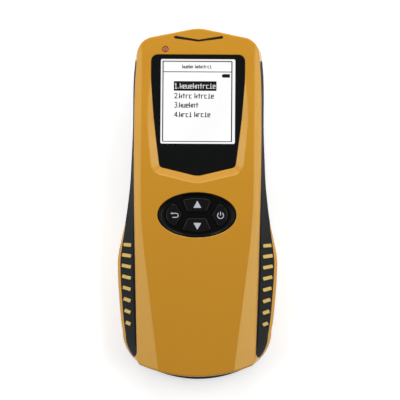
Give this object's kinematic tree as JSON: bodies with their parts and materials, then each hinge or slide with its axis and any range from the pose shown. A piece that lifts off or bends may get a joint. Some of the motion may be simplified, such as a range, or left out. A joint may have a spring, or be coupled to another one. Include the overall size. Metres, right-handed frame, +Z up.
{
  "type": "handheld rebar detector",
  "caption": "Handheld rebar detector: long body with pointed head, side grips, window over a display, oval keypad, hidden wheels with travel encoder and sliding battery door.",
  "frame": {"origin": "on the floor under the centre of the instrument's bounding box, which the tyres touch at z = 0", "axes": "+Z up out of the screen, +Y towards the pointed head end, +X to the right as the screen is read; the axles run along X"},
  "size_m": [0.0978, 0.21, 0.0483],
  "materials": {
    "yellow_shell": "satin moulded",
    "black_shell": "fine spark texture",
    "grip_rubber": "soft matt",
    "seal_rubber": "matt",
    "lens": "polished, printed black round the display",
    "display": "lit white picture",
    "black_trim": "matt",
    "keypad_black": "silky",
    "lamp": "clear red",
    "board": "solder mask",
    "chip": "moulded",
    "steel": "plated",
    "nylon": "natural",
    "copper": "enamelled wire",
    "battery": "shrink wrap",
    "hub": "moulded",
    "tyre": "matt"
  },
  "bodies": {
    "root": {"front_cover": "yellow_shell", "housing_gasket": "seal_rubber", "rear_housing": "yellow_shell", "left_grip": "grip_rubber", "right_grip": "grip_rubber", "base_cover": "black_shell", "battery_pack": "battery", "battery_connector": "nylon", "case_screw_1": "steel", "case_screw_2": "steel", "case_screw_3": "steel", "case_screw_4": "steel", "window_lens": "lens", "lens_gasket": "seal_rubber", "display_frame": "black_trim", "display_panel": "display", "main_board": "board", "processor_chip": "chip", "port_socket": "steel", "indicator_lamp": "lamp", "sounder_grille": "black_trim", "sounder": "black_trim", "keypad_surround": "keypad_black", "dome_up": "steel", "dome_down": "steel", "dome_back": "steel", "dome_power": "steel", "keypad_board": "board", "head_left_bush": "nylon", "head_right_bush": "nylon", "tail_left_bush": "nylon", "tail_right_bush": "nylon", "encoder_bracket": "black_trim", "encoder_sensor": "chip", "coil_bobbin": "nylon", "transmit_coil": "copper", "receive_coil": "copper"},
    "up_key": {"key_up": "keypad_black"},
    "down_key": {"key_down": "keypad_black"},
    "back_key": {"key_back": "keypad_black"},
    "power_key": {"key_power": "keypad_black"},
    "head_wheels": {"head_axle": "steel", "head_left_hub": "hub", "head_left_tyre": "tyre", "head_right_hub": "hub", "head_right_tyre": "tyre"},
    "tail_wheels": {"tail_axle": "steel", "tail_left_hub": "hub", "tail_left_tyre": "tyre", "tail_right_hub": "hub", "tail_right_tyre": "tyre", "drive_gear": "nylon"},
    "encoder": {"encoder_shaft": "steel", "encoder_gear": "nylon", "encoder_disc": "black_trim"},
    "door": {"battery_door": "black_shell"},
    "flap": {"port_flap": "grip_rubber"}
  },
  "joints": [
    {"name": "up_key_press", "type": "slide", "parent": "root", "child": "up_key", "axis": [0, 0, -1], "range_m": [0, 0.0009], "stiffness_N_per_m": 1500},
    {"name": "down_key_press", "type": "slide", "parent": "root", "child": "down_key", "axis": [0, 0, -1], "range_m": [0, 0.0009], "stiffness_N_per_m": 1500},
    {"name": "back_key_press", "type": "slide", "parent": "root", "child": "back_key", "axis": [0, 0, -1], "range_m": [0, 0.0009], "stiffness_N_per_m": 1500},
    {"name": "power_key_press", "type": "slide", "parent": "root", "child": "power_key", "axis": [0, 0, -1], "range_m": [0, 0.0009], "stiffness_N_per_m": 1500},
    {"name": "head_axle_spin", "type": "hinge", "parent": "root", "child": "head_wheels", "pos_m": [0, 0.033, 0.012], "axis": [1, 0, 0], "continuous": true},
    {"name": "tail_axle_spin", "type": "hinge", "parent": "root", "child": "tail_wheels", "pos_m": [0, -0.07, 0.012], "axis": [1, 0, 0], "continuous": true},
    {"name": "encoder_spin", "type": "hinge", "parent": "root", "child": "encoder", "pos_m": [0, -0.06494, 0.02076], "axis": [1, 0, 0], "continuous": true},
    {"name": "battery_door_slide", "type": "slide", "parent": "root", "child": "door", "axis": [0, 1, 0], "range_m": [0, 0.014]},
    {"name": "port_flap_swing", "type": "hinge", "parent": "root", "child": "flap", "pos_m": [0, -0.1027, 0.0279], "axis": [1, 0, 0], "range_deg": [0, 90]}
  ],
  "couplings": [
    {"joint": "encoder_spin", "follows": "tail_axle_spin", "ratio": -1.5}
  ]
}
